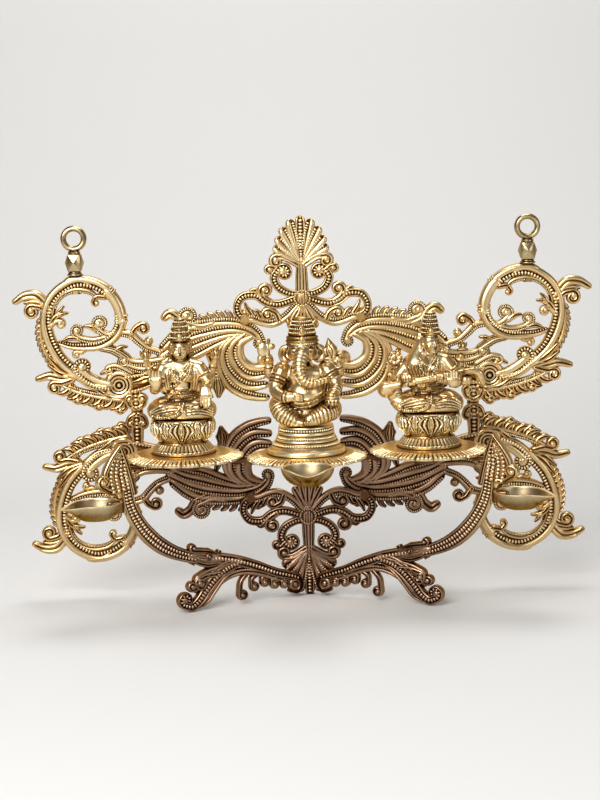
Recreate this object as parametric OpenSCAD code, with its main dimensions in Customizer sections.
// Hanging diya holder: an openwork brass panel that hangs from two swivel eyes, or stands on two
// leaf feet and the tip of its lower crest. Three trays carry three seated figures, and three
// teardrop oil lamps sit in front. Millimetres, +Z up, the front of the object faces -Y.
// The origin is on the floor under the middle of the lower crest.

/* [Panel] */
// Height of the line where the upper castings meet their mirror images
mid_h = 153; // [150:0.5:158]
// Thickness of the wings' plumes and leaves
wing_t = 6; // [5:0.5:8]
// Thickness of the wings' scroll stem
stem_t = 9; // [8:0.5:11]
// Thickness of the two crests
crest_t = 5; // [4:0.5:7]
// How far the lower wings are turned down from the mirror image of the upper ones
droop = 4; // [3:0.25:5]
// Where the crest laps over a wing, from the centre line
lap_x = 46; // [45:0.5:47]
// Where the crest laps over a wing, from the mirror line
lap_z = 73; // [72:0.5:74]

/* [Hanging eyes] */
// Distance of each eye from the centre line
eye_x = 181; // [179:0.5:183]
// Hole radius of the hanging ring
eye_hole_r = 6.2; // [5:0.1:7]
// Outside radius of the hanging ring
eye_ring_r = 10.4; // [9.5:0.1:12]
// Width of the hanging ring from front to back
eye_ring_t = 5; // [4:0.5:7]
// Size of the faceted knob under the ring
knob_size = 13.5; // [12:0.5:16]
// Radius of the shank that turns in the wing
shank_r = 2; // [1.6:0.1:2.4]

/* [Trays] */
// Radius of each tray over its petals
tray_r = 47; // [46:0.5:47.5]
// Number of petals round a tray
tray_petals = 26; // [20:2:32]
// Height of the trays' underside above the floor
tray_z = 122; // [119:0.5:124]
// Thickness of a tray where a figure sits
tray_t = 5; // [4:0.5:7]
// Distance of the side trays from the centre line
tray_x = 96; // [95.5:0.5:98]
// How far the centre tray stands in front of the side ones
tray_step = 16; // [14:1:20]

/* [Arms] */
// Angle between each front arm and the panel
arm_angle = 26; // [24:0.5:28]
// Thickness of the arms
arm_t = 7; // [6:0.5:8]
// Distance of the arms' inner curls from the centre line
arm_x = 11; // [10.5:0.5:12]

/* [Oil lamps] */
// Radius of each lamp bowl at its rim
diya_r = 20; // [18:0.5:21]
// Distance from the bowl's centre to the tip of its spout
diya_spout = 28; // [26:0.5:31]
// Depth of each lamp
diya_h = 14; // [12:0.5:17]
// Wall of each lamp
diya_wall = 1.8; // [1.4:0.1:2.4]
// Height of the side lamps' rims above the floor
diya_z = 96; // [94:0.5:98]

/* [Figures] */
// Size of the figures, where 1 is 106 mm tall
figure_scale = 1; // [0.9:0.01:1.05]

/* [Fixings] */
// Thickness of brackets, links and splice plates
strap_t = 3; // [2.5:0.5:4]
// Shank radius of screws and rivets
pin_r = 1.5; // [1.2:0.1:1.8]
// Shank radius of the bolts that hold the figures' seats
bolt_r = 3; // [2.5:0.1:3.2]
// Room round a fixed screw or rivet
fit_gap = 0.08; // [0.05:0.01:0.1]
// Room round a turning shank, and between turning faces
turn_gap = 0.08; // [0.05:0.01:0.1]
// Room above and below a turning eye
end_gap = 0.35; // [0.3:0.05:0.6]

/* [Hidden] */
$fn = 48;
// how much neighbouring strokes of a casting are let into each other
blend = 0.02;
// planes from front to back
crest_front = -crest_t / 2;
wing_y = crest_t / 2 + wing_t / 2;
wing_back = wing_y + wing_t / 2;
// trays hang clear of the wings' front face
tray_y = wing_y - wing_t / 2 - 1 - tray_r;
centre_y = tray_y - tray_step;
tray_top = tray_z + tray_t;
rim_t = tray_t / 2;
// arms start clear of the lower crest's front face
arm_end = 7;
arm_y = crest_front - 0.3 - arm_end * sin(arm_angle) - arm_t / 2 * cos(arm_angle);
arm_screw_x = arm_x + 2.2;
arm_screw_z = 10.5;
// straps between the trays
link_mid = [tray_x / 2, (tray_y + centre_y) / 2];
link_dir = [tray_x, tray_step] / norm([tray_x, tray_step]);
link_pin = 7;
link_side = link_mid + link_pin * link_dir;
link_centre = link_mid - link_pin * link_dir;
// where a side tray lies along and beside its arm, and the rivet that ties the two
tray_s = (tray_x - arm_x) * cos(arm_angle) + (arm_y - tray_y) * sin(arm_angle);
tray_off = (tray_x - arm_x) * sin(arm_angle) - (arm_y - tray_y) * cos(arm_angle);
tie_s = tray_s + sqrt(pow(tray_r - 5.7, 2) - pow(tray_off, 2));
tie = [arm_x + tie_s * cos(arm_angle), arm_y - tie_s * sin(arm_angle)];
lamp_pin_y = centre_y - tray_r + 5.5;
// side lamps meet the arms at a flat pad, with an ear that reaches inside the bowl
ear_l = 8.5;
ear_pin = 5;
drawn_tie = 133.3;
pad_s = 147.5 + tie_s - drawn_tie;
diya_s = pad_s + 0.5 + diya_r;
diya_centre_y = centre_y - tray_r - diya_r + 1;
head_r = 2 * pin_r;
head_h = pin_r;
splice_x = 136;
splice_w = 14;
splice_h = 32;
splice_screw = 9;
bracket_w = 16;
bracket_screw_z = tray_z - 10;
// height in the wing's drawing where its plumes pass the tray brackets
plume_v = 46;
// palm fan of a crest: where its lobes start, and each lobe's angle and length
crest_lift = [0, mid_h - 153];
fan_base = [0, 116] + crest_lift;
fan_lobes = [[0, 38.2], [14, 36.5], [28, 33], [43, 29], [58, 26]];
// heights of the figures' seats, and how far a bolt goes up into one
lotus_h = 27.5;
pedestal_h = 22;
bolt_up = 12;
brass = "goldenrod";
dark_brass = "darkgoldenrod";
bright_brass = "gold";
// hanging eyes: heights above the mirror line
eye_seat_low = 99.4;
eye_seat_top = 111;
collar_h = 3;
knob_low = eye_seat_top + collar_h + end_gap;
knob_mid = knob_low + knob_size / 2;
neck_h = 2.5;
ring_v = knob_low + knob_size + neck_h + eye_ring_r - 0.5;

// Curves
// a smooth curve through hand-chosen points
function bend(a, b, c, d, t) =
    0.5 * (2 * b + (c - a) * t + (2 * a - 5 * b + 4 * c - d) * t * t + (3 * b - a - 3 * c + d) * t * t * t);
function smooth(p, steps) = let (n = len(p) - 1) [
    for (i = [0:n - 1], k = [0:steps - 1])
        bend(p[max(i - 1, 0)], p[i], p[i + 1], p[min(i + 2, n)], k / steps),
    p[n]];
// a value or a point read along a list, with t from 0 to 1
function along(list, t) = let (n = len(list) - 1, i = min(floor(t * n), n - 1))
    list[i] + (list[i + 1] - list[i]) * (t * n - i);

// one flat stroke of a casting: a curve with a width that changes along it
module stroke(points, widths, steps = 3) {
    p = smooth(points, steps);
    n = len(p) - 1;
    side = [for (i = [0:n]) let (d = p[min(i + 1, n)] - p[max(i - 1, 0)])
        [-d[1], d[0]] / norm(d) * along(widths, i / n) / 2];
    for (i = [0:n - 1])
        polygon([p[i] + side[i], p[i + 1] + side[i + 1], p[i + 1] - side[i + 1], p[i] - side[i]]);
    for (i = [0, n]) translate(p[i]) circle(norm(side[i]), $fn = 10);
}

// a row of leaflets along a curve
module fringe(points, count, r) {
    p = smooth(points, 4);
    for (i = [0:count - 1]) translate(along(p, i / (count - 1))) circle(r, $fn = 10);
}

// a flat casting stood up, thickness t from front to back
module cast_flat(t) rotate([90, 0, 0]) linear_extrude(t, center = true) offset(delta = blend) children();

// a hole or shank along Y
module along_y(x, z, y0, y1, r) translate([x, y1, z]) rotate([90, 0, 0]) cylinder(y1 - y0, r = r);

// a shank with a head at its lower end, along +Z
module rivet(len, r, hr, hh) { cylinder(len, r = r); translate([0, 0, -hh]) cylinder(hh, r = hr); }

module both_sides() { children(); mirror([1, 0, 0]) children(); }
module upside_down() translate([0, 0, 2 * mid_h]) mirror([0, 0, 1]) children();

// Wings, drawn for the upper right: x from the centre line, y from the mirror line
// the scroll stem: out of the beast's mouth, up round the circle and back inside
module wing_stem() {
    stroke([[159, 22.5], [172, 25], [184, 33], [196, 45], [203.5, 60], [206, 76], [202, 90], [193, 100],
        [180, 106], [166, 104], [154, 96], [147, 84], [146, 72], [152, 61], [163, 54.5], [176, 53.5],
        [187, 54], [194, 53]], [8, 9, 9.5, 9.5, 9, 9, 9, 8, 6, 3]);
    translate([eye_x - 6.5, eye_seat_low]) square([13, eye_seat_top - eye_seat_low - blend]);
}

module wing_leaves() {
    // beast's head
    translate([149, 22]) circle(12.5, $fn = 28);
    // jaws and neck of the beast
    stroke([[143, 32], [151, 37], [158, 36], [160, 31]], [6, 4.5, 3.5]);
    stroke([[146, 11], [156, 12], [166, 18]], [7, 5, 3]);
    stroke([[142, 22], [128, 25], [114, 31]], [16, 13, 15]);
    // small leaves inside the circle
    stroke([[155, 93], [161, 93.5], [167, 90], [168, 85]], [5, 5, 2.5]);
    stroke([[204, 79], [197, 79], [193, 74], [195, 69]], [4, 5, 2.5]);
    stroke([[152, 61], [157, 70], [164, 75], [170, 72], [169, 66], [164.5, 66.5]], [4, 5, 4, 3]);
    // outward flourish and its curl
    stroke([[204, 82], [209, 92], [216, 98], [225, 96.5], [232, 91]], [6, 7, 7, 5, 1.5]);
    stroke([[205, 88], [212, 87.5], [219, 84], [218, 77.5], [212.5, 76.5]], [5, 5, 4, 3]);
    fringe([[202, 44], [208.5, 55], [211.5, 67], [211.5, 73]], 9, 2.8);
    // lower flourish, its curl and the leaflets under the stem
    stroke([[188, 33], [197, 30.5], [206, 31], [216, 27]], [7, 7, 5, 1.5]);
    stroke([[188, 28], [197, 23], [204, 22.5], [205, 17], [200, 15.5]], [6, 5, 4, 3]);
    fringe([[194, 21], [184, 15.5], [172, 11.5], [161, 8], [150, 6]], 10, 4);
    // tendrils between the circle and the plumes
    stroke([[147, 62], [138, 62.5], [133.5, 58], [128, 50], [121, 45]], [5, 6, 5.5, 5]);
    stroke([[136, 62], [132, 69], [127, 70], [125, 66], [127.5, 63.5]], [4.5, 4, 3]);
    stroke([[163, 52], [152, 50.5], [144, 44], [136, 40.5], [128, 42], [119, 42]], [5, 6, 5.5, 6]);
    // bud under the plumes
    stroke([[76, 43], [72, 34], [69.5, 24], [69, 15], [69.5, 8]], [5, 7, 12, 9, 2]);
}

// plumes from the neck to the small curl beside the crest
module wing_plumes() {
    stroke([[75, 71], [86, 68.5], [94, 71], [96.5, 78], [91, 83.5], [86, 80]], [6, 6, 5, 3.5]);
    stroke([[90, 67], [99, 72], [104, 78], [109, 79]], [6, 6, 5, 2.5]);
    stroke([[112, 50], [102, 61], [90, 68.5], [74, 72], [58, 72], [45, 68.5], [36.5, 61.5], [33.5, 54.5],
        [36, 49.5], [40, 50.5]], [7, 7, 7, 7, 5.5, 4.5, 3.5]);
    stroke([[114, 43], [100, 53], [88, 58], [78, 60.5], [67, 64], [55, 65.6], [44, 64], [37, 58]],
        [8, 7, 7, 7, 6, 4]);
    stroke([[114, 38], [102, 45], [88, 49.5], [74, 55], [60, 61], [46, 62]], [7, 7, 7, 6.5, 4]);
    stroke([[114, 33], [100, 37.5], [86, 41.5], [77, 47], [69, 52.5], [60, 57.5], [50, 61]],
        [8, 8, 7, 7, 6, 4]);
    fringe([[49, 75.5], [59, 77.5], [71, 77], [82, 74]], 10, 3);
}

// the C-shaped plume that opens towards the centre
module wing_c_plume() {
    stroke([[41, 58], [49.4, 53.5], [51.5, 46.5], [50, 40], [45.5, 35.5], [39, 33], [32, 33], [28, 37],
        [27.5, 42], [31.2, 45], [34.5, 42.5]], [4, 6.5, 7, 7, 6, 5.5, 5, 4, 3]);
    stroke([[46, 60], [55.7, 50.5], [56.2, 43], [53.7, 36], [47.7, 29], [40.5, 26.5], [33, 27.5]],
        [5, 7, 6.5, 5]);
    stroke([[52, 60], [62, 48], [62.3, 36], [57.7, 27.5], [50.3, 21.5], [41.6, 18.6], [31.6, 19.5]],
        [5, 7, 7, 5]);
    stroke([[57, 59], [65.5, 46], [64.5, 30], [59, 19.5], [49.5, 13], [39, 9.8], [31.5, 8.5]], [5, 7, 7, 5]);
}

// what joins a wing to its neighbours: the lug that meets the other wing, and the boss under the crest
module wing_joins(turn) {
    translate([splice_x - splice_w / 2, blend]) square([splice_w, splice_h / 2 + splice_x * sin(turn)]);
    translate([lap_x, lap_z]) circle(5.5, $fn = 20);
    // boss for a tray bracket's screw, with a web up into the plumes
    if (turn > 0) stroke([[tray_x, mid_h - bracket_screw_z], [tray_x, plume_v]], [4 * head_r - 2, 8], 2);
}

// holes that go through a wing from front to back
module wing_holes() {
    along_y(lap_x, mid_h + lap_z, wing_y - wing_t, wing_y + wing_t, pin_r + fit_gap);
    along_y(splice_x, mid_h + splice_screw, wing_y - wing_t, wing_y + wing_t, pin_r + fit_gap);
}

module wing(eye, turn = 0) difference() {
    translate([0, wing_y, mid_h]) {
        cast_flat(wing_t) {
            rotate(turn) { wing_stem(); wing_leaves(); wing_plumes(); wing_c_plume(); }
            wing_joins(turn);
        }
        cast_flat(stem_t) rotate(turn) wing_stem();
    }
    wing_holes();
    if (eye) translate([eye_x, wing_y, mid_h + eye_seat_low - 1])
        cylinder(eye_seat_top - eye_seat_low + 2, r = shank_r + turn_gap);
    if (!eye) along_y(tray_x, 2 * mid_h - bracket_screw_z, wing_y - wing_t, wing_y + wing_t, pin_r + fit_gap);
}

module upper_right_wing() color(brass) wing(true);
module upper_left_wing() color(brass) mirror([1, 0, 0]) wing(true);
module lower_right_wing() color(dark_brass) upside_down() wing(false, droop);
module lower_left_wing() color(dark_brass) mirror([1, 0, 0]) upside_down() wing(false, droop);

// Crests: a palm fan on a stem with a rosette, four scrolls and a small fan below
module crest_half() {
    for (f = fan_lobes) {
        tip = fan_base + (f[1] - 3.6) * [sin(f[0]), cos(f[0])];
        stroke([fan_base, (fan_base + tip) / 2, tip], [3, 7, 7.2], 3);
    }
    stroke([[0, 84], [0, 100], fan_base + [0, 2]], [12, 10, 9], 2);
    translate([0, 88.5]) circle(7, $fn = 28);
    // leaf under the fan and the scrolls beside the stem
    translate(crest_lift) stroke([[2, 116], [13, 124], [20.5, 125], [24, 121], [21, 118.5]], [5, 5.5, 4, 3]);
    stroke([[3, 92], [10, 92.5], [18.3, 97], [22.3, 105], [17.7, 112], [10.5, 109.5], [8.5, 105]],
        [5, 6, 6, 5, 4]);
    stroke([[19, 110.5], [23.5, 115], [27, 112.5], [25, 110]], [4, 3.5, 3]);
    // upper tendril, its volute, and the hook that comes down on the wing
    stroke([[4, 88.4], [18.8, 83.7], [28.7, 86], [37, 91.5], [48, 90.5], [52.4, 83.7], [51, 77],
        [lap_x, lap_z]], [6, 6, 6.5, 6, 5, 6]);
    stroke([[26, 84.5], [33.5, 89.5], [31, 96.5], [25, 96], [25, 91.5]], [5, 4.5, 4, 3]);
    // lower tendril and its curl
    stroke([[4, 84], [13.6, 73.5], [23.7, 68], [32, 70], [40, 73], [lap_x, lap_z]], [5, 6, 6, 6, 7]);
    stroke([[20, 69], [22, 76], [27, 79], [30.5, 76], [28, 73.5]], [5, 4, 3]);
    translate([lap_x, lap_z]) circle(5, $fn = 20);
    // small fan under the rosette
    for (t = [[0, 62], [5.5, 63.5], [10, 67]])
        stroke([[0, 84], [t[0] * 0.55, (84 + t[1]) / 2], t], [3, 5, 5.2], 3);
}

module crest(foot) difference() {
    translate([0, 0, mid_h]) intersection() {
        cast_flat(crest_t) { crest_half(); mirror([1, 0]) crest_half(); }
        translate([-80, -20, 0]) cube([160, 40, mid_h]);
    }
    both_sides() along_y(lap_x, mid_h + lap_z, -crest_t, crest_t, pin_r + fit_gap);
    if (foot) both_sides() along_y(arm_screw_x, 2 * mid_h - arm_screw_z, -crest_t, crest_t, pin_r + fit_gap);
}

module upper_crest() color(bright_brass) crest(false);
module lower_crest() color(dark_brass) upside_down() crest(true);

// rivets through crest and wing, headed at the front
module lap_rivets() both_sides() translate([lap_x, crest_front, mid_h + lap_z])
    rotate([-90, 0, 0]) rivet(crest_t + wing_t, pin_r, head_r, head_h);
module upper_crest_rivets() color(bright_brass) lap_rivets();
module lower_crest_rivets() color(dark_brass) upside_down() lap_rivets();

// plates behind the panel that tie the upper wings to the lower ones
module splice() difference() {
    translate([splice_x - splice_w / 2, wing_back, mid_h - splice_h / 2]) cube([splice_w, strap_t, splice_h]);
    for (s = [-1, 1])
        along_y(splice_x, mid_h + s * splice_screw, wing_back - 1, wing_back + 2 * strap_t, pin_r + fit_gap);
}
module right_wing_splice() color(dark_brass) splice();
module left_wing_splice() color(dark_brass) mirror([1, 0, 0]) splice();
module splice_screws() color(dark_brass) both_sides() for (s = [-1, 1])
    translate([splice_x, wing_back + strap_t, mid_h + s * splice_screw])
        rotate([90, 0, 0]) rivet(strap_t + wing_t, pin_r, head_r, head_h);

// Hanging eyes: ring, faceted knob and shank in one casting, turning in the top of the scroll
module eye() translate([eye_x, wing_y, mid_h]) {
    c = 1;
    half = eye_ring_t / 2;
    translate([0, 0, ring_v]) rotate([90, 0, 0]) rotate_extrude()
        polygon([[eye_hole_r, c - half], [eye_hole_r + c, -half], [eye_ring_r - c, -half],
            [eye_ring_r, c - half], [eye_ring_r, half - c], [eye_ring_r - c, half],
            [eye_hole_r + c, half], [eye_hole_r, half - c]]);
    translate([0, 0, knob_mid + knob_size / 2 - 1]) cylinder(neck_h + 2, r = 3);
    translate([0, 0, knob_mid]) intersection() {
        cube(knob_size, center = true);
        rotate([0, 0, 45]) cube([1.12 * knob_size, 1.12 * knob_size, knob_size + 1], center = true);
        rotate([0, 45, 0]) cube([1.12 * knob_size, knob_size + 1, 1.12 * knob_size], center = true);
        rotate([45, 0, 0]) cube([knob_size + 1, 1.12 * knob_size, 1.12 * knob_size], center = true);
    }
    translate([0, 0, eye_seat_low - 4.5]) cylinder(knob_mid - eye_seat_low + 4.5, r = shank_r);
}
module right_eye() color(bright_brass) eye();
module left_eye() color(bright_brass) mirror([1, 0, 0]) eye();

module eye_collar() translate([eye_x, wing_y, mid_h + eye_seat_top]) difference() {
    union() { cylinder(collar_h - 1, r = 6.3); cylinder(collar_h, r = 5.2); }
    translate([0, 0, -1]) cylinder(collar_h + 2, r = shank_r + turn_gap);
}
module right_eye_collar() color(brass) eye_collar();
module left_eye_collar() color(brass) mirror([1, 0, 0]) eye_collar();

module eye_nut() translate([eye_x, wing_y, mid_h + eye_seat_low - end_gap - 3]) difference() {
    cylinder(3, r = 4, $fn = 6);
    translate([0, 0, -1]) cylinder(5, r = shank_r + fit_gap);
}
module right_eye_nut() color(brass) eye_nut();
module left_eye_nut() color(brass) mirror([1, 0, 0]) eye_nut();

// Trays: a petalled plate with a thinner rim
function petal_outline(r, dip, per = 6) = let (n = tray_petals * per)
    [for (i = [0:n - 1]) let (a = 360 * i / n) (r - dip * (1 - abs(cos(180 * i / per)))) * [cos(a), sin(a)]];

// a pin hole in a tray, from its underside up
module tray_hole(x, y, r) translate([x, y, tray_z - 1]) cylinder(tray_t + 2, r = r);

module tray(x, y) difference() {
    translate([x, y, tray_z]) {
        linear_extrude(rim_t) polygon(petal_outline(tray_r, 2.6));
        cylinder(tray_t, r1 = tray_r - 3.5, r2 = tray_r - 8);
    }
    tray_hole(x, y, bolt_r + fit_gap);
}
module side_tray() difference() {
    tray(tray_x, tray_y);
    tray_hole(link_side[0], link_side[1], pin_r + fit_gap);
    tray_hole(tie[0], tie[1], pin_r + fit_gap);
}
module right_tray() color(bright_brass) side_tray();
module left_tray() color(bright_brass) mirror([1, 0, 0]) side_tray();
module centre_tray() color(bright_brass) difference() {
    tray(0, centre_y);
    both_sides() tray_hole(link_centre[0], link_centre[1], pin_r + fit_gap);
    tray_hole(0, lamp_pin_y, pin_r + fit_gap);
}

// angle brackets that carry the side trays on the lower wings
module tray_bracket() difference() {
    translate([tray_x - bracket_w / 2, 0, 0]) {
        translate([0, crest_t / 2 - strap_t, tray_z - 18]) cube([bracket_w, strap_t, 18]);
        translate([0, tray_y - 8, tray_z - strap_t]) cube([bracket_w, crest_t / 2 - tray_y + 8, strap_t]);
    }
    along_y(tray_x, bracket_screw_z, -strap_t, wing_back, pin_r + fit_gap);
    translate([tray_x, tray_y, tray_z - strap_t - 1]) cylinder(strap_t + 2, r = bolt_r + fit_gap);
}
module right_tray_bracket() color(dark_brass) tray_bracket();
module left_tray_bracket() color(dark_brass) mirror([1, 0, 0]) tray_bracket();
module bracket_screws() color(dark_brass) both_sides()
    translate([tray_x, crest_t / 2 - strap_t, bracket_screw_z])
        rotate([-90, 0, 0]) rivet(strap_t + wing_t, pin_r, head_r, head_h);

// straps under the rims that tie the centre tray to the side ones
module tray_link() translate([link_mid[0], link_mid[1], tray_z - strap_t])
    rotate([0, 0, atan2(tray_step, tray_x)]) difference() {
        translate([-link_pin - 5, -5, 0]) cube([2 * link_pin + 10, 10, strap_t]);
        for (s = [-1, 1]) translate([s * link_pin, 0, -1]) cylinder(strap_t + 2, r = pin_r + fit_gap);
    }
module right_tray_link() color(dark_brass) tray_link();
module left_tray_link() color(dark_brass) mirror([1, 0, 0]) tray_link();
module tray_link_rivets() color(brass) both_sides() for (p = [link_side, link_centre])
    translate([p[0], p[1], tray_z - strap_t]) rivet(strap_t + rim_t, pin_r, head_r, head_h);

// Figures: a turned seat bolted to its tray and a cast figure on top, drawn round the tray's centre
module ball(p, r) translate(p) sphere(r, $fn = 10);
module limb(a, b, ra, rb) hull() { ball(a, ra); ball(b, rb); }
module limbs(p, r) for (i = [0:len(p) - 2]) limb(p[i], p[i + 1], r[i], r[i + 1]);
module disc(z0, z1, r0, r1) translate([0, 0, z0]) cylinder(z1 - z0, r1 = r0, r2 = r1, $fn = 32);

module lotus_seat() {
    disc(0, 3, 25, 25);
    disc(3, 8, 24.5, 19);
    disc(8, 11, 19, 18);
    disc(11, 19, 18, 26);
    disc(19, lotus_h, 26, 23.5);
}

module round_seat() {
    disc(0, 4, 30.5, 30);
    disc(4, 9, 28, 25.5);
    disc(9, 14, 24, 22.5);
    disc(14, pedestal_h, 22, 21.4);
}

// a seat in its place, with the bolt's hole in its underside
module seat(x, y) translate([x, y, tray_top]) difference() {
    scale(figure_scale) children();
    translate([0, 0, -1]) cylinder(bolt_up + 2, r = bolt_r + fit_gap);
}
module left_lotus_seat() color(brass) seat(-tray_x, tray_y) lotus_seat();
module right_lotus_seat() color(brass) seat(tray_x, tray_y) lotus_seat();
module round_pedestal() color(brass) seat(0, centre_y) round_seat();

// a figure in its place, cut flat where it meets its seat
module figure(x, y, seat_h) translate([x, y, tray_top]) scale(figure_scale) difference() {
    children();
    translate([-50, -50, -1]) cube([100, 100, seat_h + 1]);
}

// body shared by the two goddesses: folded legs, torso, head and crown
module seated_body() {
    both_sides() {
        limbs([[7, 4, 34], [23, -6, 34], [4, -18, 32]], [9, 7.5, 4.5]);
        limbs([[9, 2, 65], [16, 1, 64]], [6, 5]);
    }
    limbs([[0, 3, 36], [0, 3, 48], [0, 2, 60], [0, 1, 70], [0, 0, 78]], [11, 8.5, 11, 4.5, 6.5]);
    limb([0, -0.5, 78], [0, 0, 84], 7, 7.8);
    disc(86, 90, 8.6, 8.6);
    disc(90, 98, 7.4, 6);
    disc(98, 106, 5, 1.6);
}

// a rear arm with the hand raised beside the head, holding a round flower
module rear_arm(flower) {
    limbs([[15, 4, 64], [24, 5, 58], [27, 3, 72]], [4.5, 3.6, 3]);
    limb([27, 2, 76], [27.5, 2, 82], 3.4, flower);
}

module lotus_goddess() color(brass) figure(-tray_x, tray_y, lotus_h) {
    seated_body();
    both_sides() rear_arm(4.6);
    // blessing hand and giving hand
    limbs([[-16, 1, 64], [-22, -4, 50], [-20, -14, 58], [-20, -15.5, 65]], [5, 4.2, 3.4, 3.6]);
    limbs([[16, 1, 64], [22, -3, 50], [19, -15, 46], [19, -19, 40]], [5, 4.2, 3.4, 3.6]);
}

module veena_goddess() color(brass) figure(tray_x, tray_y, lotus_h) {
    seated_body();
    both_sides() rear_arm(3.8);
    // two hands on the veena, its neck and its two gourds
    limbs([[-16, 1, 64], [-23, -6, 52], [-12, -18, 50]], [5, 4.2, 3.4]);
    limbs([[16, 1, 64], [24, -4, 53], [19, -16, 58]], [5, 4.2, 3.4]);
    limbs([[-20, -18, 41], [2, -19.5, 51], [34, -13, 65]], [4.4, 2.6, 2.4]);
    ball([-22, -17, 40], 9);
    ball([27, -11, 67], 5.5);
}

module elephant_headed_deity() color(brass) figure(0, centre_y, pedestal_h) {
    both_sides() {
        limbs([[8, 3, 29], [25, -6, 30], [6, -19, 27]], [9, 8, 5]);
        // wide ears
        hull() { ball([11, -4, 72], 5); ball([24, 0, 76], 3); ball([22, 0, 62], 3); }
        limbs([[13, 2, 58], [22, 3, 58], [28, 2, 66], [28, 1, 76]], [6, 4.5, 3.6, 3.6]);
        limb([28, 1, 76], [28.5, 1, 85], 3.2, 4.2);
        // tusks
        limb([6, -15, 62], [10, -20, 57], 2, 1.2);
    }
    limbs([[0, 2, 32], [0, -3, 40], [0, 1, 56]], [13, 16, 13]);
    limb([0, -4, 70], [0, -5, 77], 12, 10.5);
    limbs([[0, -15, 68], [0, -19, 58], [3, -21, 49], [9, -21, 45], [13, -20, 48]], [6.5, 5.5, 4.6, 4, 3.4]);
    limbs([[-14, 1, 56], [-23, -7, 46], [-18, -17, 50]], [5.5, 4.6, 4]);
    limbs([[14, 1, 56], [23, -6, 45], [22, -16, 38]], [5.5, 4.6, 4]);
    disc(84, 88, 10, 10);
    disc(88, 98, 8.4, 6);
    disc(98, 106, 4.6, 1.8);
}

// bolts up through bracket, tray and into each seat
module figure_bolt(low) translate([0, 0, low]) {
    translate([0, 0, -4]) cylinder(4, r = 5.5, $fn = 6);
    cylinder(tray_top - low + bolt_up, r = bolt_r);
}
module figure_bolts() color(dark_brass) {
    both_sides() translate([tray_x, tray_y, 0]) figure_bolt(tray_z - strap_t);
    translate([0, centre_y, 0]) figure_bolt(tray_z);
}

// Arms, drawn flat: x along the arm from its inner curl, y above the floor, stretched to the tray's rim
function reach(p) = [p[0] + (tie_s - drawn_tie) * max(0, min(1, (p[0] - 60) / 60)), p[1]];
module arm_stroke(points, widths) stroke([for (p = points) reach(p)], widths);
module arm_outline() {
    // inner curl and the S-shaped stem
    translate([2, arm_screw_z]) circle(6, $fn = 20);
    arm_stroke([[6, 6], [0, 4.6], [-3.4, 9], [-1, 15.5], [8, 19], [20, 23], [36, 30], [52, 36], [66, 39.5],
        [79, 41.5], [92, 44], [106, 49.5], [118, 57], [129, 68], [137, 80], [142, 92], [143.5, 101],
        [145.5, 112], [149, 122]], [4, 5, 6.5, 7.5, 9, 9, 10, 12.5, 13, 12, 9, 7]);
    arm_stroke([[70, 40], [79, 42], [88, 44]], [8, 16, 9]);
    // hood: five lobes and a small curl on top
    for (t = [[147.5, 136], [154.5, 133], [160, 126.5], [163.5, 118], [164.5, 109.5]])
        arm_stroke([[148, 104], ([148, 104] + t) / 2 + [-0.5, 1], t], [5, 8, 7]);
    arm_stroke([[146, 126], [144, 133], [146.5, 138], [150.5, 137]], [4, 4, 2.5]);
    // volute over the lamp
    translate([0, diya_z])
        arm_stroke([[146, 5], [150.5, 13], [158, 14.5], [163, 10], [161, 5], [156.5, 5.5]], [5, 5, 4, 3]);
    translate([pad_s - 9.5, diya_z - 13]) square([9.5 - blend, 13]);
    // tongue under the tray's rim
    translate([tie_s - 5, tray_z - strap_t - 1 + blend]) square([18, strap_t + 1 - 2 * blend]);
    // leaf foot with two curls
    arm_stroke([[48, 35], [60, 32], [70, 26], [79, 18], [87, 9.5], [94, 5.5], [101, 6.5], [102, 11.5],
        [98, 13]], [6, 10, 13, 12, 9, 6, 5, 3]);
    arm_stroke([[68, 28], [78, 27.5], [86, 26], [90, 21], [86, 17.5]], [6, 5, 4, 3]);
    translate(reach([89.5, blend])) square([12, 5]);
    // drooping leaf and hanging curls
    arm_stroke([[42, 32], [46, 22], [50, 13], [54, 5]], [5, 7, 7, 2.5]);
    arm_stroke([[36, 30], [38, 20], [35, 14], [31.5, 16.5]], [5, 4, 3]);
    arm_stroke([[23, 25], [25, 16], [21, 12], [17.5, 14.5]], [5, 4, 3]);
}

// puts a shape drawn along the right arm in its place
module on_arm() translate([arm_x, arm_y, 0]) rotate([0, 0, -arm_angle]) children();

module arm() difference() {
    on_arm() cast_flat(arm_t) arm_outline();
    along_y(arm_screw_x, arm_screw_z, arm_y - 2.5, 0, pin_r + fit_gap);
    translate([tie[0], tie[1], tray_z - 2 * strap_t]) cylinder(4 * strap_t, r = pin_r + fit_gap);
    on_arm() translate([pad_s - 7, 0, diya_z - ear_pin]) rotate([0, 90, 0]) cylinder(8, r = pin_r + fit_gap);
    // flat seat for the lamp
    on_arm() translate([pad_s, -arm_t, diya_z - diya_h]) cube([2 * diya_r, 2 * arm_t, diya_h + end_gap]);
}
module right_arm() color(dark_brass) arm();
module left_arm() color(dark_brass) mirror([1, 0, 0]) arm();

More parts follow.
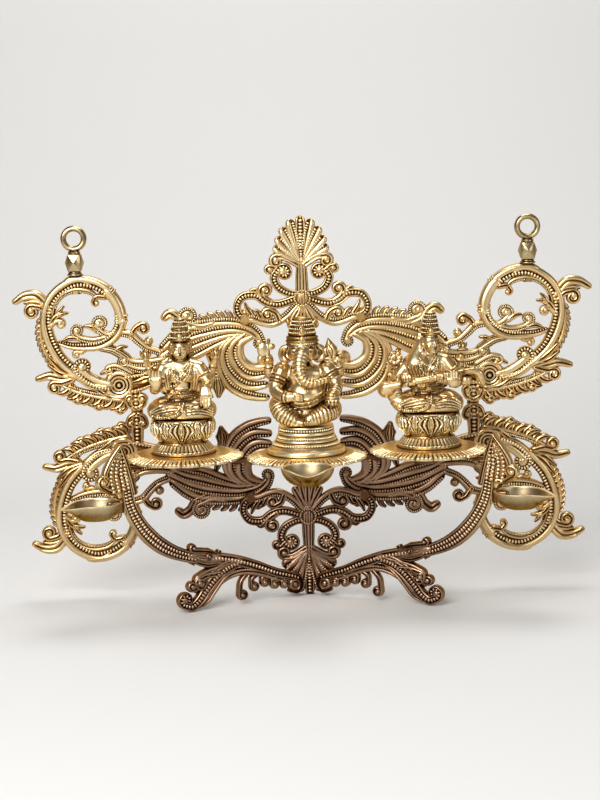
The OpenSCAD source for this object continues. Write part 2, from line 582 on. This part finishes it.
// wedges between the lower crest and the arms' inner curls
function arm_back(s) = [arm_x + s * cos(arm_angle) + arm_t / 2 * sin(arm_angle),
    arm_y - s * sin(arm_angle) + arm_t / 2 * cos(arm_angle)];
module arm_seat() difference() {
    a = arm_back(-2);
    b = arm_back(5);
    translate([0, 0, arm_screw_z - 5]) linear_extrude(10)
        polygon([a, b, [b[0], crest_front], [a[0], crest_front]]);
    along_y(arm_screw_x, arm_screw_z, -20, 0, pin_r + fit_gap);
}
module right_arm_seat() color(dark_brass) arm_seat();
module left_arm_seat() color(dark_brass) mirror([1, 0, 0]) arm_seat();
module arm_screws() color(dark_brass) both_sides() translate([arm_screw_x, crest_t / 2, arm_screw_z])
    rotate([90, 0, 0]) rivet(crest_t / 2 - arm_y + 2, pin_r, head_r, head_h);
module arm_tray_rivets() color(brass) both_sides() translate([tie[0], tie[1], tray_z - strap_t - 1])
    rivet(strap_t + 1 + rim_t, pin_r, head_r, head_h);

// Oil lamps: a teardrop bowl with its rim at z = 0 and its spout along +X
module teardrop(grow, low) hull() {
    for (k = [[0, 1], [0.42, 0.9], [0.8, 0.62], [1, 0.34]])
        translate([0, 0, -k[0] * low]) cylinder(0.01, r = diya_r * k[1] + grow, $fn = 36);
    translate([diya_spout - 2.4, 0, -0.3 * low]) cylinder(0.3 * low + 0.01, r = 2.4 + grow, $fn = 16);
}
module diya_bowl() difference() {
    teardrop(0, diya_h);
    translate([0, 0, 0.02]) teardrop(-diya_wall, diya_h - diya_wall);
}

module side_diya() on_arm() translate([diya_s, 0, diya_z]) difference() {
    union() {
        diya_bowl();
        translate([pad_s - diya_s, -arm_t / 2, -11]) cube([ear_l, arm_t, 10]);
    }
    translate([pad_s - diya_s - 1, 0, -ear_pin]) rotate([0, 90, 0]) cylinder(12, r = pin_r + fit_gap);
}
module right_diya() color(bright_brass) side_diya();
module left_diya() color(bright_brass) mirror([1, 0, 0]) side_diya();
module centre_diya() color(bright_brass) difference() {
    translate([0, diya_centre_y, tray_top]) union() {
        rotate([0, 0, -90]) diya_bowl();
        difference() {
            translate([-6, 0, tray_z - strap_t - tray_top]) cube([12, lamp_pin_y + 6 - diya_centre_y, strap_t]);
            rotate([0, 0, -90]) teardrop(-diya_wall / 2, diya_h);
        }
    }
    translate([0, lamp_pin_y, tray_z - strap_t - 1]) cylinder(strap_t + 2, r = pin_r + fit_gap);
}

// rivets: side lamps from inside the bowl into the arm's pad, centre lamp up into its tray
module side_diya_rivets() color(brass) both_sides() on_arm() translate([pad_s + ear_l, 0, diya_z - ear_pin])
    rotate([0, -90, 0]) rivet(ear_l + 6, pin_r, head_r, head_h);
module centre_diya_rivet() color(brass) translate([0, lamp_pin_y, tray_z - strap_t])
    rivet(strap_t + rim_t, pin_r, head_r, head_h);

upper_left_wing();
upper_right_wing();
lower_left_wing();
lower_right_wing();
upper_crest();
lower_crest();
upper_crest_rivets();
lower_crest_rivets();
left_wing_splice();
right_wing_splice();
splice_screws();
left_eye();
right_eye();
left_eye_collar();
right_eye_collar();
left_eye_nut();
right_eye_nut();
left_tray();
centre_tray();
right_tray();
left_tray_bracket();
right_tray_bracket();
bracket_screws();
left_tray_link();
right_tray_link();
tray_link_rivets();
left_lotus_seat();
round_pedestal();
right_lotus_seat();
lotus_goddess();
elephant_headed_deity();
veena_goddess();
figure_bolts();
left_arm();
right_arm();
left_arm_seat();
right_arm_seat();
arm_screws();
arm_tray_rivets();
left_diya();
centre_diya();
right_diya();
side_diya_rivets();
centre_diya_rivet();
